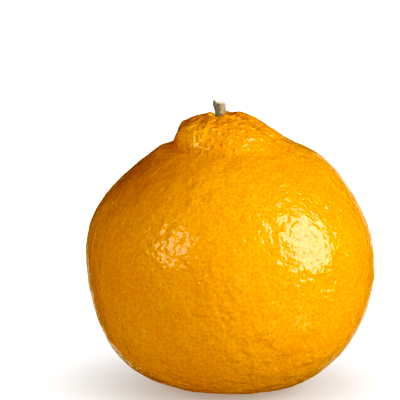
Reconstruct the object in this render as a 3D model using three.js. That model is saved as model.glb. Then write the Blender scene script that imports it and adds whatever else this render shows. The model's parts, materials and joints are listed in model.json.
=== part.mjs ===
// Shiranui mandarin: one whole fruit with its raised, puckered neck, the dried
// calyx in the pit on top of the neck, and the short cut stub of its stalk.
//
// Millimetres, +Z up. The fruit rests on z = 0 with a small flat spot, and the
// origin is on that spot, straight under the middle of the fruit. -Y is the front,
// the side that is seen first.

import * as THREE from "three";

// Body: the plain round fruit under the neck
const bodyRadius = 44.6; // middle to side, at the widest level
const crownHeight = 40.8; // widest level to the top of the body, without the neck
const baseHeight = 40.1; // widest level to the blossom end
const crownPower = 2.02; // 2 is an ellipse, and more is fuller at the shoulder
const basePower = 2.4;
const flatDepth = 0.9; // how far the fruit has settled on its base
const leanLeft = 3.7; // degrees that the fruit's axis leans to -X
const leanFront = 1.0; // degrees that it leans to -Y

// Swellings and flats of the body: degrees round from +X and above the widest
// level, and millimetres in or out
const swells = [
  { bearing: 340, level: -68, rise: 1.1, spread: 13 },
  { bearing: 0, level: -32, rise: -0.7, spread: 16 },
  { bearing: 220, level: -70, rise: -1.3, spread: 19 },
  { bearing: 180, level: -22, rise: -0.6, spread: 16 },
  { bearing: 180, level: 66, rise: 0.6, spread: 11 },
  { bearing: 180, level: 46, rise: -0.6, spread: 11 },
  { bearing: 180, level: 22, rise: 0.9, spread: 15 },
  { bearing: 0, level: 47, rise: 1.2, spread: 14 },
  { bearing: 0, level: 18, rise: -0.3, spread: 14 },
  { bearing: 0, level: -6, rise: 0.5, spread: 14 },
  { bearing: 78, level: 20, rise: 0.7, spread: 34 },
  { bearing: 118, level: -28, rise: -0.7, spread: 30 },
  { bearing: 262, level: 6, rise: 0.4, spread: 38 },
];

// Neck: the knob that the stalk end stands on
const neckHeight = 6.9; // above the body
const neckRadius = 9.6; // where its top starts to fall away
const neckRadiusDrift = 1.2; // how much further left, and less far right, that is
const neckFoot = 19.4; // where its side meets the body, halfway between steep and gentle
const neckFootDrift = 4.0; // how much further right, and less far left, that is
const neckHollow = 1.3; // above 1, the side falls early and runs out into the body
const neckDome = 0.2; // share of its height that its top falls by, from middle to edge

// Crease round the left of the neck's foot
const creaseDepth = 1.0;
const creaseWidth = 2.6;
const creaseInset = 0.6; // how far inside the foot it is deepest
const creaseBearing = 216; // degrees round from +X, where it is deepest
const creaseSpread = 40; // degrees

// Pit: the hollow in the neck that holds the calyx
const seatRadius = 3.9; // flat floor of the pit
const crestRadius = 5.6; // top of the pit's wall
const seatHeight = 44.2; // pit floor above the widest level

// Furrows that run out from the pit: degrees round from +X, and millimetres
const furrows = [
  { bearing: 18, depth: 0.9, reach: 15 },
  { bearing: 62, depth: 0.6, reach: 12 },
  { bearing: 101, depth: 1.1, reach: 16 },
  { bearing: 148, depth: 0.8, reach: 13 },
  { bearing: 190, depth: 0.8, reach: 12 },
  { bearing: 229, depth: 0.6, reach: 10 },
  { bearing: 264, depth: 0.6, reach: 9 },
  { bearing: 303, depth: 0.4, reach: 12 },
  { bearing: 337, depth: 0.8, reach: 19 },
];
const furrowWidth = 1.1;
const furrowFlare = 0.05; // how much wider it gets with each millimetre out

// Smaller unevenness of the skin
const dentDepth = 0.14; // soft dents all over the body
const puckerHeight = 0.22; // wrinkles on the neck

// Calyx: five short sepals round a thicker hub
const sepals = 5;
const sepalCut = 0.34; // depth of the notch between two sepals, as a share of the radius
const calyxRadius = 3.6;
const calyxHub = 2.1;
const calyxThickness = 0.6;
const hubThickness = 0.9;
const sepalCurl = 0.5; // how far the tips rise

// Stalk: a cut stub with a torn lip on its left
const stalkRadius = 1.45;
const stalkTop = 50.3; // cut end above the widest level
const cutSlope = 0.12; // the cut end falls by this much for each millimetre to the right
const footFlare = 0.22; // how much wider its foot is
const topFlare = 0.12; // and its cut end
const ridges = { count: 5, height: 0.09 }; // along the bark
const fineRidges = { count: 9, height: 0.05 };
const lipReach = 0.75; // how far the torn lip stands out
const lipHeight = 1.0;
const lipWidth = 0.75;

const seam = 0.2; // gap between pieces that touch

// Steps round each piece
const rindSteps = 96;
const calyxSteps = 50;
const stalkSteps = 28;

const restHeight = baseHeight - flatDepth; // the widest level above the surface under it
const { cos, sin, exp, abs, hypot, PI } = Math;
const { lerp, degToRad: radians, radToDeg: degrees } = THREE.MathUtils;

// 0 below low, 1 above high, and a smooth step between them.
const smooth = (low, high, value) => THREE.MathUtils.smoothstep(value, low, high);

// 1 at the middle, falling away on both sides.
const bell = (distance, width) => exp(-((distance / width) ** 2));

// The smaller angle between two bearings, in degrees.
const turnBetween = (a, b) => abs(((((a - b) % 360) + 540) % 360) - 180);

// Rind

// The plain body's radius in a direction, theta radians down from its top. The
// base's shape turns into the crown's round the widest level.
function bodyReach(theta) {
  const up = cos(theta);
  const crown = smooth(-0.45, 0.45, up);
  const height = lerp(baseHeight, crownHeight, crown);
  const power = lerp(basePower, crownPower, crown);
  const across = abs(sin(theta) / bodyRadius) ** power;
  return (across + abs(up / height) ** power) ** (-1 / power);
}

// A unit vector, level degrees above the widest level.
function facing(bearing, level) {
  const polar = new THREE.Spherical(1, radians(90 - level), radians(bearing));
  const { x, y, z } = new THREE.Vector3().setFromSpherical(polar);
  return new THREE.Vector3(z, x, y); // three.js measures its angles from +Y and +Z
}

// Soft unevenness of a grown fruit: its swellings and flats, and small dents.
function swelling(direction) {
  const { x, y, z } = direction;
  let rise = dentDepth * sin(6.3 * x - 3.1 * z + 1.2) * sin(5.7 * y + 2.3 * z);
  for (const swell of swells) {
    const apart = direction.angleTo(facing(swell.bearing, swell.level));
    rise += swell.rise * bell(apart, radians(swell.spread));
  }
  return rise;
}

// How far the neck stands above the body, s millimetres out from its middle.
function neckRise(s, bearing) {
  const right = cos(radians(bearing));
  const foot = neckFoot + neckFootDrift * right;
  const side = (1 - smooth(neckRadius - neckRadiusDrift * right, foot, s)) ** neckHollow;
  const dome = 1 - neckDome * side * (s / neckRadius) ** 2;
  const round = bell(turnBetween(bearing, creaseBearing), creaseSpread);
  const across = bell(s - (foot - creaseInset), creaseWidth);
  return neckHeight * side * dome - creaseDepth * round * across;
}

// Depth of the furrows at a point of the neck.
function furrowing(s, bearing) {
  let depth = 0;
  for (const furrow of furrows) {
    const turn = turnBetween(bearing, furrow.bearing);
    if (turn < 90) {
      const aside = s * sin(radians(turn));
      const end = 1 - smooth(furrow.reach - 5, furrow.reach + 3, s);
      const along = smooth(0.6 * seatRadius, crestRadius, s) * end;
      depth += furrow.depth * along * bell(aside, furrowWidth + furrowFlare * s);
    }
  }
  return depth;
}

// Height of the small wrinkles, which fade out towards the neck's foot.
function pucker(x, y, s) {
  const waves = sin(1.55 * x + 0.9 * sin(1.1 * y)) * cos(1.35 * y - 0.8 * sin(1.2 * x) + 0.5);
  return puckerHeight * waves * (1 - smooth(neckRadius, neckFoot, s));
}

// A point of the rind in the fruit's own frame, whose middle is at the widest level.
function rindPoint(theta, phi) {
  const direction = facing(degrees(phi), 90 - degrees(theta));
  const plain = bodyReach(theta);
  let reach = plain + swelling(direction) * smooth(0.1, 0.5, theta);
  if (direction.z > 0) {
    const s = plain * sin(theta);
    reach += neckRise(s, degrees(phi)) - furrowing(s, degrees(phi));
    reach += pucker(s * cos(phi), s * sin(phi), s);
  }
  const point = direction.multiplyScalar(reach);
  if (point.z > 0) {
    const wall = smooth(seatRadius, crestRadius, hypot(point.x, point.y));
    point.z = lerp(seatHeight, point.z, wall);
  }
  return point;
}

// The levels of the rings, in radians down from the top: close together in the
// pit and on the neck, and wider apart over the plain body.
function ringLevels() {
  const zones = [
    { end: 0.135, rings: 9 },
    { end: 0.6, rings: 20 },
    { end: PI, rings: 28 },
  ];
  const levels = [];
  let start = 0;
  for (const { end, rings } of zones) {
    for (let ring = 1; ring <= rings; ring++) {
      levels.push(lerp(start, end, ring / rings));
    }
    start = end;
  }
  return levels.slice(0, -1); // the last level is the pole itself
}

function rindGeometry() {
  const ring = (theta) => around(rindSteps, (phi) => standing(rindPoint(theta, phi)));
  const top = standing(rindPoint(0, 0));
  const bottom = standing(rindPoint(PI, 0));
  return shell(top, ringLevels().map(ring), bottom);
}

// Calyx

function calyxGeometry() {
  const floor = seatHeight + seam;
  const edge = (phi) => calyxRadius * (1 - sepalCut * abs(sin((sepals * phi) / 2)));
  const curl = (s) => sepalCurl * smooth(calyxHub, calyxRadius, s);
  const under = (s) => floor + curl(s);
  const over = (s) => under(s) + lerp(hubThickness, calyxThickness, smooth(0.8, 1, s / calyxHub));
  const ring = (share, level) =>
    around(calyxSteps, (phi) => {
      const s = share * edge(phi);
      return new THREE.Vector3(s * cos(phi), s * sin(phi), level(s));
    });
  const rings = [
    ...[0.4, 0.62, 0.8, 0.92, 1].map((share) => ring(share, over)),
    ...[1, 0.92, 0.8, 0.62, 0.4].map((share) => ring(share, under)),
  ];
  return shell(new THREE.Vector3(0, 0, over(0)), rings, new THREE.Vector3(0, 0, floor));
}

// Stalk

// Radius of the stalk at a share of its height: a wider foot, a slim middle,
// ridged bark, and a lip that flares out to the left at the cut.
function stalkReach(share, phi) {
  const flare = footFlare * (1 - smooth(0, 0.25, share)) + topFlare * smooth(0.6, 1, share);
  const lip = lipReach * smooth(0.55, 0.95, share) * smooth(0.3, 1, -cos(phi));
  const bark = ridges.height * cos(ridges.count * phi + 1.4 * share);
  const fineBark = fineRidges.height * cos(fineRidges.count * phi - 0.9);
  return stalkRadius + flare + lip + bark + fineBark;
}

// Height of the cut end: nearly level, with the torn lip standing up on the left.
function cutHeight(x) {
  return stalkTop + lipHeight * bell(x + stalkRadius, lipWidth) - cutSlope * x;
}

function stalkGeometry() {
  const foot = seatHeight + hubThickness + 2 * seam;
  const level = (share, phi, spread) => {
    const out = spread * stalkReach(share, phi);
    const [x, y] = [out * cos(phi), out * sin(phi)];
    return new THREE.Vector3(x, y, lerp(foot, cutHeight(x), share));
  };
  const ring = (share, spread) => around(stalkSteps, (phi) => level(share, phi, spread));
  const rings = [
    ...[0.3, 0.6, 0.85].map((spread) => ring(1, spread)),
    ...[1, 0.93, 0.84, 0.72, 0.58, 0.42, 0.26, 0.12, 0].map((share) => ring(share, 1)),
    ring(0, 0.5),
  ];
  return shell(level(1, 0, 0), rings, level(0, 0, 0));
}

// Geometry helpers

// One point for each step round the axis.
function around(steps, pointAt) {
  return Array.from({ length: steps }, (_, step) => pointAt((step / steps) * 2 * PI));
}

const lean = new THREE.Euler(radians(leanFront), radians(-leanLeft), 0);

// From the fruit's own frame to where it stands: leaned, lifted, and flat where
// it meets the surface under it.
function standing(point) {
  const placed = point.clone().applyEuler(lean);
  placed.z = Math.max(0, placed.z + restHeight);
  return placed;
}

// A closed surface from a top pole, down through rings of points, to a last pole.
// Each four-sided gap is split along its shorter diagonal.
function shell(top, rings, bottom) {
  const count = rings[0].length;
  const points = [top, ...rings.flat(), bottom];
  const at = (ring, step) => 1 + ring * count + (step % count);
  const last = rings.length - 1;
  const faces = [];
  for (let step = 0; step < count; step++) {
    faces.push(0, at(0, step), at(0, step + 1));
    for (let ring = 0; ring < last; ring++) {
      const [a, b] = [at(ring, step), at(ring, step + 1)];
      const [c, d] = [at(ring + 1, step), at(ring + 1, step + 1)];
      const isShort = points[a].distanceTo(points[d]) <= points[b].distanceTo(points[c]);
      faces.push(...(isShort ? [a, c, d, a, d, b] : [a, c, b, b, c, d]));
    }
    faces.push(points.length - 1, at(last, step + 1), at(last, step));
  }
  const geometry = new THREE.BufferGeometry().setFromPoints(points);
  geometry.setIndex(faces);
  geometry.computeVertexNormals();
  return geometry;
}

// Pieces

const finishes = {
  rind: { color: "#ee8f12", roughness: 0.4, metalness: 0 },
  calyx: { color: "#77703f", roughness: 0.85, metalness: 0 },
  stalk: { color: "#8d7b5f", roughness: 0.8, metalness: 0 },
};

function piece(name, geometry) {
  const mesh = new THREE.Mesh(geometry, new THREE.MeshStandardMaterial(finishes[name]));
  mesh.name = name;
  return mesh;
}

// The calyx and the stalk are in the fruit's own frame, so they lean with it.
const stem = new THREE.Group();
stem.rotation.copy(lean);
stem.position.z = restHeight;
stem.add(piece("calyx", calyxGeometry()));
stem.add(piece("stalk", stalkGeometry()));

const mandarin = new THREE.Group();
mandarin.add(piece("rind", rindGeometry()));
mandarin.add(stem);

export default mandarin;
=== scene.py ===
"""Looks of a shiranui mandarin: waxy, pored rind, dried calyx and cut stalk.

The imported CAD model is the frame: metres, +Z up, the fruit resting on z = 0 and
its front towards -Y. The rind and the calyx start as merged copies of their CAD
nodes, which are smoothed and given finer relief. The stalk is modelled anew where
its node is. Each of the three stands for its node.
"""

import json
from math import atan2, cos, exp, hypot, pi, radians, sin

import bpy
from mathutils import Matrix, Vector

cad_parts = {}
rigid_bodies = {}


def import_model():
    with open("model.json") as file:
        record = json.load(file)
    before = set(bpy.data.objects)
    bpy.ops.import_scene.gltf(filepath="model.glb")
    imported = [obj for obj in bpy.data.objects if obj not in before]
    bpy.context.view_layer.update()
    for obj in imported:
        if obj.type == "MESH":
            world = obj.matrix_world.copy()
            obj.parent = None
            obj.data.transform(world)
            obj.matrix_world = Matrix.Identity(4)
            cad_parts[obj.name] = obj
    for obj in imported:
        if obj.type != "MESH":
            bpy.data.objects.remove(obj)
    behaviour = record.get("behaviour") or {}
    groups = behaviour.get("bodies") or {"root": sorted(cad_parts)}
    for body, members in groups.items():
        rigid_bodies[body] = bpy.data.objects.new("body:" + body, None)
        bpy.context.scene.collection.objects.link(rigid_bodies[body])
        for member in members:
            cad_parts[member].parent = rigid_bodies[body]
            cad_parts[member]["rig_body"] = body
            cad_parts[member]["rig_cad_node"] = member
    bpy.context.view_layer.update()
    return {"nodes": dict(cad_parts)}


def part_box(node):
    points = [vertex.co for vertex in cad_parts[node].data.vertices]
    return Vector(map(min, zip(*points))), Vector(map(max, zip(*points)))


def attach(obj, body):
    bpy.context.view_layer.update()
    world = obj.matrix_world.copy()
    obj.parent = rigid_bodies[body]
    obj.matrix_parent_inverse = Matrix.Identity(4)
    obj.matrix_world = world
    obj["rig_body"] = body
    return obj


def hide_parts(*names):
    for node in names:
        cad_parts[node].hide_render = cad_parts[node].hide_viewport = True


MM = 0.001

# Camera: where the fruit stands in a square frame
FRAME_PIXELS = 400
BODY_PIXEL = (230, 262)  # middle of the body, at the fruit's widest level
FRUIT_PIXELS = 290  # the fruit's width
BODY_MIDDLE = Vector((0, 0, 39.2 * MM))
CAMERA_DISTANCE = 0.9
CAMERA_RISE = radians(12)  # how far above the body's middle it looks down from

# The camera's own directions
RIGHT = Vector((1, 0, 0))
UP = Vector((0, sin(CAMERA_RISE), cos(CAMERA_RISE)))
BACK = Vector((0, -cos(CAMERA_RISE), sin(CAMERA_RISE)))

# Neck, with the pit that the stalk comes out of. Each reach is where a mask is still
# full and where it has faded out, as distances from a middle.
NECK_MIDDLE = Vector((-2.9 * MM, -0.8 * MM, 84 * MM))
NECK_REACH = (11 * MM, 24 * MM)
PIT_MIDDLE = Vector((-2.9 * MM, -0.8 * MM, 83 * MM))
PIT_REACH = (3.4 * MM, 5.2 * MM)

# Stem: the stalk is made in the fruit's own frame, which leans
STEM_TURN = (radians(1.0), radians(-3.7), 0)
STEM_LIFT = 39.2 * MM


# Scene helpers


def in_camera_frame(right, up, back):
    """A world vector from its parts along the camera's own directions."""
    return right * RIGHT + up * UP + back * BACK


def point_under(pixel, piece):
    """Where a pixel of the picture falls on a piece."""
    camera = bpy.context.scene.camera
    step = camera.data.sensor_width / camera.data.lens / FRAME_PIXELS
    middle = FRAME_PIXELS / 2
    ray = Vector(((pixel[0] - middle) * step, (middle - pixel[1]) * step, -1))
    turned = camera.rotation_euler.to_matrix() @ ray.normalized()
    return piece.ray_cast(camera.location, turned)[1]


def select_only(piece):
    bpy.ops.object.select_all(action="DESELECT")
    piece.select_set(True)
    bpy.context.view_layer.objects.active = piece


def merged_copy(node, name):
    """A copy of a CAD node, with its loose triangles joined up into quads."""
    piece = frame["nodes"][node].copy()
    piece.data = piece.data.copy()
    piece.name = name
    piece.data.name = name
    piece.parent = None
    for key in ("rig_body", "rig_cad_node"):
        del piece[key]
    bpy.context.scene.collection.objects.link(piece)
    select_only(piece)
    bpy.ops.object.mode_set(mode="EDIT")
    bpy.ops.mesh.select_all(action="SELECT")
    bpy.ops.mesh.remove_doubles(threshold=0.01 * MM)
    bpy.ops.mesh.tris_convert_to_quads(face_threshold=radians(60), shape_threshold=radians(60))
    bpy.ops.object.mode_set(mode="OBJECT")
    piece.data.materials.clear()
    return piece


def add_modifier(piece, kind, **settings):
    """Adds a modifier and applies it at once."""
    modifier = piece.modifiers.new(kind.lower(), kind)
    for key, value in settings.items():
        setattr(modifier, key, value)
    select_only(piece)
    bpy.ops.object.modifier_apply(modifier=modifier.name)


def subdivide(piece, levels):
    add_modifier(piece, "SUBSURF", levels=levels, render_levels=levels)


def displace(piece, height, size, mid, depth=1, kind="SOFT_NOISE", group=""):
    """Raises and lowers the surface with noise of this height and feature size."""
    noise = bpy.data.textures.new(f"{piece.name}_relief", "CLOUDS")
    noise.noise_scale = size
    noise.noise_depth = depth
    noise.noise_type = kind
    add_modifier(
        piece,
        "DISPLACE",
        texture=noise,
        texture_coords="LOCAL",
        strength=height,
        mid_level=mid,
        vertex_group=group,
    )


def weigh(piece, name, weight_at):
    """A vertex group whose weights come from a function of the vertex's place."""
    group = piece.vertex_groups.new(name=name)
    for vertex in piece.data.vertices:
        group.add([vertex.index], weight_at(vertex.co), "REPLACE")
    return group.name


def smooth_step(low, high, value):
    """0 below low, 1 above high, and a smooth step between them."""
    share = min(max((value - low) / (high - low), 0), 1)
    return share * share * (3 - 2 * share)


def bell(offset, width):
    """1 where the offset is 0, and a soft fall to nothing within a few widths."""
    return exp(-((offset / width) ** 2))


def finish_piece(piece, node, material):
    """Gives a piece its material and puts it in its CAD node's place."""
    select_only(piece)
    bpy.ops.object.shade_smooth()
    piece.data.materials.append(material)
    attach(piece, "root")
    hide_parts(node)


# Shader maths


class Value:
    """A shader socket that can be used in an expression, which adds Math nodes."""

    def __init__(self, finish, socket):
        self.finish = finish
        self.socket = socket

    def math(self, operation, *others):
        inputs = dict(enumerate((self, *others)))
        return self.finish.add("ShaderNodeMath", "Value", {"operation": operation}, inputs)

    def __add__(self, other):
        return self.math("ADD", other)

    def __mul__(self, other):
        return self.math("MULTIPLY", other)

    def __sub__(self, other):
        return self.math("SUBTRACT", other)

    def __rsub__(self, other):
        return self * -1 + other

    __radd__ = __add__
    __rmul__ = __mul__

    def step(self, low, high):
        """0 at low, 1 at high, and a smooth step between them."""
        settings = {"interpolation_type": "SMOOTHSTEP"}
        inputs = {"Value": self, "From Min": low, "From Max": high}
        return self.finish.add("ShaderNodeMapRange", "Result", settings, inputs)


class Finish:
    """A material or a world, and the ways to add to its node tree."""

    def __init__(self, owner, shader="Principled BSDF", coordinate="Object"):
        owner.use_nodes = True
        self.owner = owner
        self.tree = owner.node_tree
        self.shader = self.tree.nodes[shader]
        self.place = self.add("ShaderNodeTexCoord", coordinate)

    def add(self, kind, output, settings=None, inputs=None):
        """Adds a node, makes its settings, fills its sockets, and gives an output."""
        node = self.tree.nodes.new(kind)
        for key, value in (settings or {}).items():
            setattr(node, key, value)
        into = {socket.identifier: socket for socket in node.inputs}
        for key, value in (inputs or {}).items():
            self.fill(into.get(key) or node.inputs[key], value)
        out = {socket.identifier: socket for socket in node.outputs}
        return Value(self, out.get(output) or node.outputs[output])

    def fill(self, socket, value):
        if isinstance(value, Value):
            self.tree.links.new(value.socket, socket)
        else:
            socket.default_value = value

    def set(self, **sockets):
        """Fills the shader's own sockets: Base_Color fills Base Color."""
        for key, value in sockets.items():
            self.fill(self.shader.inputs[key.replace("_", " ")], value)

    def noise(self, size, detail, distortion=0.0, place=None):
        """Soft noise from 0 to 1, with features of a size in metres."""
        inputs = {
            "Vector": place or self.place,
            "Scale": 1 / size,
            "Detail": detail,
            "Distortion": distortion,
        }
        return self.add("ShaderNodeTexNoise", "Fac", inputs=inputs)

    def spots(self, size, randomness=1.0):
        """Distance along the surface from the nearest of many scattered spots, in
        their spacings. Each spot is a cell's middle, brought up to the surface."""
        inputs = {"Vector": self.place, "Scale": 1 / size, "Randomness": randomness}
        middle = self.add("ShaderNodeTexVoronoi", "Position", inputs=inputs)
        offset = self.vector("SUBTRACT", self.place, middle)
        depth = self.vector("DOT_PRODUCT", offset, self.facing())
        across = self.vector("DOT_PRODUCT", offset, offset) - depth * depth
        return across.math("MAXIMUM", 0).math("SQRT") * (1 / size)

    def facing(self):
        """The direction that the surface faces."""
        return self.add("ShaderNodeTexCoord", "Normal")

    def scaled_place(self, scale):
        """The place, scaled along each axis. Less than 1 draws a pattern out longer."""
        inputs = {"Vector": self.place, "Scale": scale}
        return self.add("ShaderNodeMapping", "Vector", inputs=inputs)

    def vector(self, operation, first, second):
        """Vector maths. A distance or a dot product is a number."""
        is_number = operation in ("DISTANCE", "DOT_PRODUCT")
        output = "Value" if is_number else "Vector"
        inputs = {0: first, 1: second}
        return self.add("ShaderNodeVectorMath", output, {"operation": operation}, inputs)

    def distance(self, point):
        """Distance from a point, in metres."""
        return self.vector("DISTANCE", self.place, point)

    def patch(self, middle, reach):
        """A mask that is 1 up to the first distance from a middle, 0 from the second."""
        return 1 - self.distance(middle).step(*reach)

    def mix(self, share, low, high):
        """The colour low where share is 0, and the colour high where it is 1."""
        inputs = {"Factor_Float": share, "A_Color": low, "B_Color": high}
        return self.add("ShaderNodeMix", "Result_Color", {"data_type": "RGBA"}, inputs)

    def bump(self, height, depth, normal=None):
        """A bumped normal. The height is from 0 to 1, and depth is in metres."""
        inputs = {"Height": height, "Distance": depth}
        if normal:
            inputs["Normal"] = normal
        return self.add("ShaderNodeBump", "Normal", inputs=inputs)


# Rind

PEEL = (0.72, 0.352, 0.003, 1)
PEEL_DEEP = (0.69, 0.302, 0.002, 1)
PEEL_BRIGHT = (0.74, 0.388, 0.004, 1)
# Painted shade for the neck: darker, for the lower light on its front
PEEL_NECK_SHADE = (0.63, 0.25, 0.002, 1)
# Painted shade for the slope left of the neck
PEEL_SHOULDER_SHADE = (0.56, 0.23, 0.001, 1)
# Painted light for the neck's left flank
PEEL_FLANK_LIGHT = (0.84, 0.42, 0.006, 1)
# Pit colour: partly its own greener orange, partly painted light that lifts the shade in the pit
PEEL_PIT_TINT_AND_LIGHT = (0.78, 0.50, 0.10, 1)
PORE = (0.64, 0.19, 0.001, 1)
# Pale specks: partly wax, partly painted glints
WAX_SPECK_AND_GLINT = (0.95, 0.72, 0.38, 1)
# Dark red of a bruise, and of a notch as painted shade
BRUISE_AND_NOTCH_SHADE = (0.32, 0.05, 0.004, 1)
SCAR = (0.85, 0.50, 0.22, 1)
SCUFF = (0.50, 0.28, 0.14, 1)
BLOSSOM_SCAR = (0.20, 0.11, 0.035, 1)

# Features scattered over the peel: their spacings, and their size where they are patches
MOTTLE_SIZE = 16 * MM
FINE_MOTTLE_SIZE = 3 * MM
PORE_SPACING = 1.5 * MM
DIMPLE_SPACING = 4.0 * MM
SPECK_SPACING = 10 * MM
KNOB_SPACING = 2.6 * MM
PEBBLE_SPACING = 2.3 * MM
SCRIBBLE_SPACING = 2.2 * MM
ROUGH_PATCH_SIZE = 7 * MM

# How high or deep the finest relief is
PEBBLE_HEIGHT = 0.34 * MM
KNOB_HEIGHT = 0.33 * MM
PORE_DEPTH = 0.03 * MM
DIMPLE_DEPTH = 0.07 * MM
LOW_REACH = (4 * MM, 24 * MM)  # roughest up to the first height, as elsewhere from the second

WAX_ROUGHNESS = 0.19
MOST_DULL = 0.5  # the most that dull spots add to it

# Places on the peel: the pixel that shows each, and its reach as a patch or its radius
SHOULDER_SHADE = ((143, 171), (3 * MM, 22 * MM))  # slope left of the neck, darker as a painted shade
FLANK_LIGHT = ((192, 134), (2 * MM, 9 * MM))  # left flank of the neck, brighter as a painted light
BRUISE_MARK = ((203, 122), 0.7 * MM)
# A dark mark where a small notch would be shaded: painted shade
NOTCH_SHADE_MARK = ((217.5, 124), 0.55 * MM)
SCAR_MARK = ((301, 324), 4.5 * MM)
SCUFF_MARK = ((142, 265), 0.5 * MM)
PLACES = (SHOULDER_SHADE, FLANK_LIGHT, BRUISE_MARK, NOTCH_SHADE_MARK, SCAR_MARK, SCUFF_MARK)

# Scar where the blossom was, on the flat spot
BLOSSOM_END = (0.6 * MM, 0.4 * MM, 0)
BLOSSOM_RADIUS = 1.7 * MM

# Soft swellings beside the neck: the pixel that shows each, its height and its reach
SWELLS = (
    ((193, 136), 1.1 * MM, 5.5 * MM),
    ((167, 146), 0.8 * MM, 4.5 * MM),
    ((180, 139), 1.1 * MM, 3.8 * MM),
)

# Front rim of the pit, which is raised in a ring round the pit's middle
RIM_HEIGHT = 0.8 * MM
RIM_RADIUS = 5.9 * MM
RIM_WIDTH = 2.0 * MM
RIM_DEPTH = 6 * MM  # nothing further than this below the pit's middle is raised
NO_DIRECTION = 0.1 * MM  # closer to the pit's middle than this has no direction

# Uneven surface: height and feature size
WAVES = (0.45 * MM, 6 * MM)
RIPPLES = (0.25 * MM, 2.6 * MM)
PUCKERS = (0.55 * MM, 3.6 * MM)


def mark(peel, middle, radius):
    """A mask, 1 on a round mark with ragged edges and 0 away from it."""
    ragged = (peel.noise(radius * 0.8, detail=3) - 0.5) * (radius * 1.6)
    return 1 - (peel.distance(middle) + ragged).step(radius * 0.6, radius * 1.2)


def scribble(peel, middle, radius):
    """Thin wandering lines that fade out away from their middle."""
    level = peel.noise(SCRIBBLE_SPACING, detail=2, distortion=1.0)
    line = 1 - (level - 0.5).math("ABSOLUTE").step(0.015, 0.06)
    return line * peel.patch(middle, (radius * 0.5, radius))


def rind_material(shoulder_shade, flank_light, bruise, notch_shade, scar, scuff):
    """Waxy peel. The number after a mask is how strongly it shows."""
    peel = Finish(bpy.data.materials.new("peel"))

    # Mottled all over, deeper and brighter in places; then painted shade on the neck and on the
    # slope left of it, and painted light on the neck's left flank
    mottle = peel.noise(MOTTLE_SIZE, detail=3)
    fine_mottle = peel.noise(FINE_MOTTLE_SIZE, detail=2)
    colour = peel.mix(mottle.step(0.3, 0.7) * 0.6 + 0.4, PEEL_DEEP, PEEL)
    colour = peel.mix(fine_mottle.step(0.45, 0.75) * 0.3, colour, PEEL_BRIGHT)
    on_neck = peel.patch(NECK_MIDDLE, NECK_REACH)
    # Painted shade: the neck is darker, for the lower light on its front
    colour = peel.mix(on_neck * 0.6, colour, PEEL_NECK_SHADE)
    # Painted shade on the slope left of the neck
    colour = peel.mix(peel.patch(*shoulder_shade) * 0.65, colour, PEEL_SHOULDER_SHADE)
    # Painted light on the neck's left flank
    colour = peel.mix(peel.patch(*flank_light) * 0.85, colour, PEEL_FLANK_LIGHT)

    # Pores, larger dimples, and pale specks that are partly wax and partly painted glints
    pore = 1 - peel.spots(PORE_SPACING, randomness=0.75).step(0.05, 0.58)
    dimple = 1 - peel.spots(DIMPLE_SPACING).step(0.02, 0.15)
    speck = 1 - peel.spots(SPECK_SPACING).step(0.016, 0.03)
    colour = peel.mix(pore * 0.45, colour, PORE)
    colour = peel.mix(dimple * 0.25, colour, PORE)
    colour = peel.mix(speck * 0.5, colour, WAX_SPECK_AND_GLINT)

    # Marks, each at its own place; the bruise is the fruit's own, and the notch is a painted
    # shade, a dark mark for a small crease
    bruise_and_notch_shade = (mark(peel, *bruise) * 0.8).math("MAXIMUM", mark(peel, *notch_shade) * 0.6)
    blossom_end = mark(peel, BLOSSOM_END, BLOSSOM_RADIUS)
    in_pit = peel.patch(PIT_MIDDLE, PIT_REACH)
    colour = peel.mix(bruise_and_notch_shade, colour, BRUISE_AND_NOTCH_SHADE)
    colour = peel.mix(scribble(peel, *scar) * 0.55, colour, SCAR)
    colour = peel.mix(mark(peel, *scuff) * 0.6, colour, SCUFF)
    colour = peel.mix(blossom_end * 0.85, colour, BLOSSOM_SCAR)
    # The pit's own greener tint, with painted light against its shade
    colour = peel.mix(in_pit * 0.85, colour, PEEL_PIT_TINT_AND_LIGHT)

    # Pebbled all over, most on the neck, low down and in patches
    rough_patch = peel.noise(ROUGH_PATCH_SIZE, detail=1).step(0.42, 0.62)
    low_down = 1 - peel.vector("DOT_PRODUCT", peel.place, (0, 0, 1)).step(*LOW_REACH)
    strength = rough_patch * 0.75 + on_neck * 0.8 + low_down * 1.2 + 0.6
    pebbled = peel.bump(peel.noise(PEBBLE_SPACING, detail=1.3) * strength, PEBBLE_HEIGHT)

    # Knobs on the neck, then pores and dimples
    knob = 1 - peel.spots(KNOB_SPACING).step(0.0, 0.34)
    knobbed = peel.bump(knob * on_neck, KNOB_HEIGHT, pebbled)
    pored = peel.bump(pore * -1, PORE_DEPTH, knobbed)
    dimpled = peel.bump(dimple * -1, DIMPLE_DEPTH, pored)

    dull = (speck * 0.3 + in_pit * 0.45 + blossom_end * 0.4).math("MINIMUM", MOST_DULL)
    peel.set(
        Base_Color=colour,
        Roughness=WAX_ROUGHNESS + dull,
        Normal=dimpled,
        IOR=1.49,
        Subsurface_Weight=0.12,
        Subsurface_Radius=(1.0, 0.35, 0.1),
        Subsurface_Scale=2.0 * MM,
    )
    return peel.owner


def rim_rise(place):
    """How much higher the front rim of the pit stands at a place."""
    across = place.x - PIT_MIDDLE.x
    forward = PIT_MIDDLE.y - place.y
    out = hypot(across, forward)
    if place.z < PIT_MIDDLE.z - RIM_DEPTH or out < NO_DIRECTION:
        return 0
    in_front = smooth_step(0.1, 0.9, forward / out)
    return RIM_HEIGHT * bell(out - RIM_RADIUS, RIM_WIDTH) * in_front


def crumpled(place):
    """How much the skin puckers at a place: fully on the neck, not at all away from it."""
    return 1 - smooth_step(*NECK_REACH, (place - NECK_MIDDLE).length)


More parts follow.
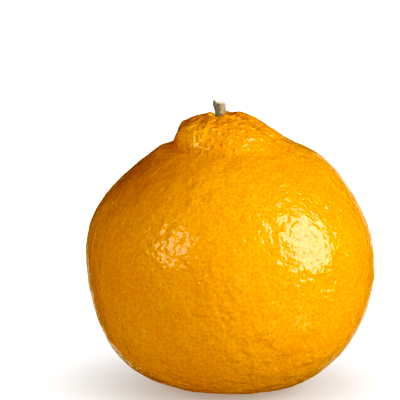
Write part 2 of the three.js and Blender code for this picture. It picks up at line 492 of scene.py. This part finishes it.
def make_rind():
    cad_rind = frame["nodes"]["rind"]
    places = [(point_under(pixel, cad_rind), size) for pixel, size in PLACES]
    swells = [(point_under(pixel, cad_rind), *size) for pixel, *size in SWELLS]
    rind = merged_copy("rind", "mandarin_rind")
    subdivide(rind, 2)

    # The normals are copied first, because each move of a vertex works them out again
    outward = [vertex.normal.copy() for vertex in rind.data.vertices]
    for vertex, normal in zip(rind.data.vertices, outward):
        rises = (
            height * bell((vertex.co - middle).length, reach) for middle, height, reach in swells
        )
        rise = sum(rises)
        vertex.co.z += rim_rise(vertex.co)
        vertex.co += normal * rise

    neck = weigh(rind, "neck", crumpled)
    displace(rind, *WAVES, mid=0.7)
    displace(rind, *RIPPLES, mid=0.7)
    displace(rind, *PUCKERS, mid=0.4, depth=2, kind="HARD_NOISE", group=neck)
    finish_piece(rind, "rind", rind_material(*places))


# Calyx

DRY_OLIVE = (0.46, 0.41, 0.22, 1)
DRY_BROWN = (0.20, 0.14, 0.07, 1)
CALYX_DROP = 0.2 * MM  # grown onto the floor of the pit
CALYX_RELIEF = (0.25 * MM, 0.9 * MM)  # height and feature size
CALYX_GRAIN = 0.5 * MM
CALYX_BLOTCH = 1.8 * MM
VEIN_TURNS = 24  # veins run outwards: radians of wave for each radian round the calyx
VEIN_WANDER = 6
VEIN_STRENGTH = 0.2
FIBRE_HEIGHT = 0.15 * MM


def calyx_material():
    dry = Finish(bpy.data.materials.new("dry_calyx"))
    out = dry.vector("SUBTRACT", dry.place, PIT_MIDDLE)
    across = dry.vector("DOT_PRODUCT", out, (1, 0, 0))
    back = dry.vector("DOT_PRODUCT", out, (0, 1, 0))
    grain = dry.noise(CALYX_GRAIN, detail=3, distortion=0.6)
    wave = across.math("ARCTAN2", back) * VEIN_TURNS + grain * VEIN_WANDER
    fibre = grain + wave.math("SINE") * VEIN_STRENGTH
    blotch = dry.noise(CALYX_BLOTCH, detail=2)
    colour = dry.mix(fibre.step(0.35, 0.65), DRY_BROWN, DRY_OLIVE)
    colour = dry.mix(blotch.step(0.5, 0.8) * 0.6, colour, DRY_BROWN)
    dry.set(Base_Color=colour, Roughness=0.85, Normal=dry.bump(fibre, FIBRE_HEIGHT))
    return dry.owner


def make_calyx():
    calyx = merged_copy("calyx", "mandarin_calyx")
    for vertex in calyx.data.vertices:
        vertex.co.z -= CALYX_DROP
    subdivide(calyx, 2)
    displace(calyx, *CALYX_RELIEF, mid=0.5, depth=2)
    finish_piece(calyx, "calyx", calyx_material())


# Stalk

BARK_GREY = (0.31, 0.30, 0.25, 1)
BARK_TAN = (0.40, 0.28, 0.19, 1)
BARK_DARK = (0.11, 0.105, 0.08, 1)
CUT_WOOD = (0.76, 0.71, 0.54, 1)
CUT_RING = (0.50, 0.41, 0.26, 1)
# Yellow of the small dot at the stalk's foot
YELLOW_DOT = (0.85, 0.70, 0.10, 1)

# Shape, in the fruit's own frame, with heights above the fruit's widest level
STALK_RADIUS = 1.66 * MM
STALK_FOOT = 44.9 * MM
STALK_TOP = 50.4 * MM
STALK_SIDES = 40
STALK_RINGS = 12
STALK_RELIEF = (0.16 * MM, 0.7 * MM)  # height and feature size
CUT_INSETS = (0.06, 0.22, 0.22, 0.22)  # widths of the cut's rings of faces, for a radius of 1
CUT_SLOPE = 0.1

# What its outline adds to its radius, in mm
FOOT_FLARE = 0.12
TOP_FLARE = 0.1
LIP_OVERHANG = 0.5
RIDGE_HEIGHT = 0.06
FINE_RIDGE_HEIGHT = 0.04

# Torn lip at the left of the cut
LIP_HEIGHT = 0.85 * MM
LIP_MIDDLE = -1.65 * MM
LIP_WIDTH = 0.7 * MM

# Bark and cut end
BARK_STRETCH = (1, 1, 0.12)  # draws the streaks out along the stalk
STREAK_WIDTH = 0.45 * MM
STREAK_DEPTH = 0.25 * MM
STALK_OFFSET = 3.1  # mm that the stalk stands to the left of the fruit's middle
SIDE_SIZE = 1.6 * MM
SIDE_WANDER = 1.5  # mm that the border of grey and tan wanders in all
CUT_MIDDLE = (-3.3 * MM, -0.9 * MM, 89.5 * MM)
PITH_REACH = (0.2 * MM, 0.5 * MM)
RING_SPACING = 0.5 * MM
WOBBLE_SIZE = 0.7 * MM
WOBBLE = 5  # radians of the rings' wave
YELLOW_DOT_PIXEL = (221, 112)  # the yellow dot at the stalk's foot
YELLOW_DOT_REACH = (0.25 * MM, 0.45 * MM)


def stalk_material():
    bark = Finish(bpy.data.materials.new("dry_stalk"))

    # Streaked bark, grey on its left and tan on its right
    along = bark.scaled_place(BARK_STRETCH)
    streaks = bark.noise(STREAK_WIDTH, detail=3, place=along)
    sides = bark.noise(SIDE_SIZE, detail=1, place=along)
    right = bark.vector("DOT_PRODUCT", bark.place, (1 / MM, 0, 0)) + STALK_OFFSET
    right = right + (sides - 0.5) * SIDE_WANDER
    colour = bark.mix(right.step(-0.5, 0.6), BARK_GREY, BARK_TAN)
    colour = bark.mix((1 - streaks.step(0.36, 0.54)) * 0.8, colour, BARK_DARK)

    # Pale cut end with rings round its pith
    out = bark.distance(CUT_MIDDLE)
    wobble = bark.noise(WOBBLE_SIZE, detail=2) * WOBBLE
    ring = (out * (2 * pi / RING_SPACING) + wobble).math("SINE")
    cut = bark.mix(ring.step(-0.4, 1.0) * 0.35, CUT_WOOD, CUT_RING)
    cut = bark.mix(bark.patch(CUT_MIDDLE, PITH_REACH) * 0.7, cut, BARK_TAN)
    level = bark.vector("DOT_PRODUCT", bark.facing(), (0, 0, 1))
    colour = bark.mix(level.step(0.25, 0.6), colour, cut)

    # A yellow dot at the stalk's foot
    yellow_dot = point_under(YELLOW_DOT_PIXEL, frame["nodes"]["stalk"])
    colour = bark.mix(bark.patch(yellow_dot, YELLOW_DOT_REACH) * 0.8, colour, YELLOW_DOT)
    bark.set(Base_Color=colour, Roughness=0.8, Normal=bark.bump(streaks, STREAK_DEPTH))
    return bark.owner


def stalk_reach(share, angle):
    """The stalk's radius at a share of its height: ridged, with a lip on its left."""
    foot = FOOT_FLARE * (1 - smooth_step(0, 0.3, share))
    left = max(0, -cos(angle)) ** 1.5
    grown = smooth_step(0.5, 0.82, share)
    worn = smooth_step(0.84, 1, share)
    lip = LIP_OVERHANG * left * (grown - 0.9 * worn)
    ridge = RIDGE_HEIGHT * cos(5 * angle + 1.4 * share)
    fine_ridge = FINE_RIDGE_HEIGHT * cos(11 * angle - 0.9)
    return STALK_RADIUS + (foot + lip + (ridge + fine_ridge) + TOP_FLARE * share) * MM


def make_stalk():
    # A plain column, 1 in radius and height
    bpy.ops.object.select_all(action="DESELECT")
    bpy.ops.mesh.primitive_circle_add(vertices=STALK_SIDES, radius=1, fill_type="NGON")
    stalk = bpy.context.object
    stalk.name = "mandarin_stalk"
    bpy.ops.object.mode_set(mode="EDIT")
    bpy.ops.mesh.select_all(action="SELECT")
    for ring in range(STALK_RINGS):
        rise = (0, 0, 1 / STALK_RINGS)
        bpy.ops.mesh.extrude_region_move(TRANSFORM_OT_translate={"value": rise})
    for inset in CUT_INSETS:
        bpy.ops.mesh.inset(thickness=inset)
    bpy.ops.mesh.select_all(action="SELECT")
    bpy.ops.mesh.normals_make_consistent(inside=False)
    bpy.ops.object.mode_set(mode="OBJECT")

    # Shaped into the stub, with its slanting cut and torn lip
    for vertex in stalk.data.vertices:
        share = vertex.co.z
        spread = hypot(vertex.co.x, vertex.co.y)
        angle = atan2(vertex.co.y, vertex.co.x)
        out = spread * stalk_reach(share, angle)
        x = out * cos(angle)
        lip = LIP_HEIGHT * bell(x - LIP_MIDDLE, LIP_WIDTH)
        top = STALK_TOP + lip - CUT_SLOPE * x
        vertex.co = (x, out * sin(angle), STALK_FOOT + share * (top - STALK_FOOT))

    # Taken from the fruit's own frame to where the fruit stands
    stalk.rotation_euler = STEM_TURN
    stalk.location.z += STEM_LIFT
    select_only(stalk)
    bpy.ops.object.transform_apply(location=True, rotation=True, scale=True)

    subdivide(stalk, 1)
    displace(stalk, *STALK_RELIEF, mid=0.5, depth=2)
    finish_piece(stalk, "stalk", stalk_material())


# Camera, lights and floor

WHITE = (1, 1, 1, 1)
WARM_WHITE = (1, 0.91, 0.82, 1)
SHADE = (0.25, 0.25, 0.25, 1)
SHADE_REACH = 0.08
LIGHT_DISTANCE = 3.0
ROOM_PALEST = (0.05, 0.12, 0.99)  # direction in the camera's frame
ROOM_LEAST = 0.08  # glow of its darkest side
SHEET_WIDTH = 40
FLOOR_LEVEL = -0.02 * MM
FLOOR_GREY = 0.3
BOUNCE_LEVEL = -0.3 * MM
BOUNCE_GLOW = 0.9
BLACK_LEVEL = (0.1, 0.1, 0.1)


def make_camera():
    low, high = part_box("rind")
    pixel = (high.x - low.x) / FRUIT_PIXELS
    middle = FRAME_PIXELS / 2
    right = (middle - BODY_PIXEL[0]) * pixel
    up = (BODY_PIXEL[1] - middle) * pixel
    aim = BODY_MIDDLE + right * RIGHT + up * UP
    camera = bpy.data.objects.new("camera", bpy.data.cameras.new("camera"))
    bpy.context.scene.collection.objects.link(camera)
    camera.location = BODY_MIDDLE + CAMERA_DISTANCE * BACK
    camera.rotation_euler = (aim - camera.location).to_track_quat("-Z", "Y").to_euler()
    camera.data.lens = camera.data.sensor_width * CAMERA_DISTANCE / (FRAME_PIXELS * pixel)
    bpy.context.scene.camera = camera


def make_softbox(name, direction, size, brightness):
    """A soft oval light that faces the fruit, from a direction in the camera's frame.
    The brightness is that of its own face."""
    light = bpy.data.lights.new(name, "AREA")
    light.shape = "ELLIPSE"
    light.size, light.size_y = size
    light.energy = brightness * pi * (pi / 4 * size[0] * size[1])
    softbox = bpy.data.objects.new(name, light)
    bpy.context.scene.collection.objects.link(softbox)
    towards = in_camera_frame(*direction).normalized()
    softbox.location = BODY_MIDDLE + LIGHT_DISTANCE * towards
    softbox.rotation_euler = (BODY_MIDDLE - softbox.location).to_track_quat("-Z", "Y").to_euler()
    softbox.visible_camera = False
    return softbox


def make_lights():
    make_softbox("window", (0.86, 0.33, 0.38), size=(2.0, 3.1), brightness=8.4)
    make_softbox("fill", (-0.69, 0.31, 0.65), size=(1.2, 1.3), brightness=6.0)
    make_softbox("right_edge", (0.24, 0.05, -0.97), size=(0.35, 2.2), brightness=1.4)
    make_softbox("left_edge", (-0.26, -0.12, -0.96), size=(0.35, 1.2), brightness=1.4)

    # Only shades the back softly, with no highlight of its own
    behind = make_softbox("behind", (0.0, 0.2, -0.98), size=(3.0, 3.0), brightness=2.2)
    behind.visible_glossy = False


def make_room():
    """Palest in front of the fruit, so that its edges keep their colour."""
    world = bpy.data.worlds.new("room")
    bpy.context.scene.world = world
    room = Finish(world, "Background", "Generated")
    front = room.vector("DOT_PRODUCT", room.place, in_camera_frame(*ROOM_PALEST))
    room.set(Color=WARM_WHITE, Strength=ROOM_LEAST + front.step(-0.1, 1.0))


def make_sheet(name, level, grey):
    """A wide level sheet, and its finish, which is left to be given its glow."""
    bpy.ops.object.select_all(action="DESELECT")
    bpy.ops.mesh.primitive_plane_add(size=SHEET_WIDTH)
    sheet = bpy.context.object
    sheet.name = name
    sheet.location.z = level
    paper = Finish(bpy.data.materials.new(name))
    paper.set(Base_Color=(grey, grey, grey, 1), Roughness=0.9)
    sheet.data.materials.append(paper.owner)
    sheet.visible_glossy = False
    return sheet, paper


def make_floor():
    """White, with a soft shade at its middle, where the fruit stands."""
    floor, paper = make_sheet("floor", FLOOR_LEVEL, FLOOR_GREY)
    away = paper.distance((0, 0, 0)).step(0, SHADE_REACH)
    paper.set(Emission_Color=paper.mix(away, SHADE, WHITE), Emission_Strength=1.0)
    floor.visible_diffuse = False


def make_bounce():
    """Lights the fruit from below, in the floor's stead. The camera doesn't see it."""
    bounce, paper = make_sheet("bounce", BOUNCE_LEVEL, grey=0)
    paper.set(Emission_Color=WARM_WHITE, Emission_Strength=BOUNCE_GLOW)
    bounce.visible_camera = False


def make_photo_contrast():
    """Plain colours, with the deep darks that a contrasty picture has."""
    view = bpy.context.scene.view_settings
    view.view_transform = "Standard"
    view.use_curve_mapping = True
    view.curve_mapping.black_level = BLACK_LEVEL
    view.curve_mapping.update()


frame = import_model()

make_camera()
make_lights()
make_room()
make_floor()
make_bounce()
make_photo_contrast()
make_rind()
make_calyx()
make_stalk()
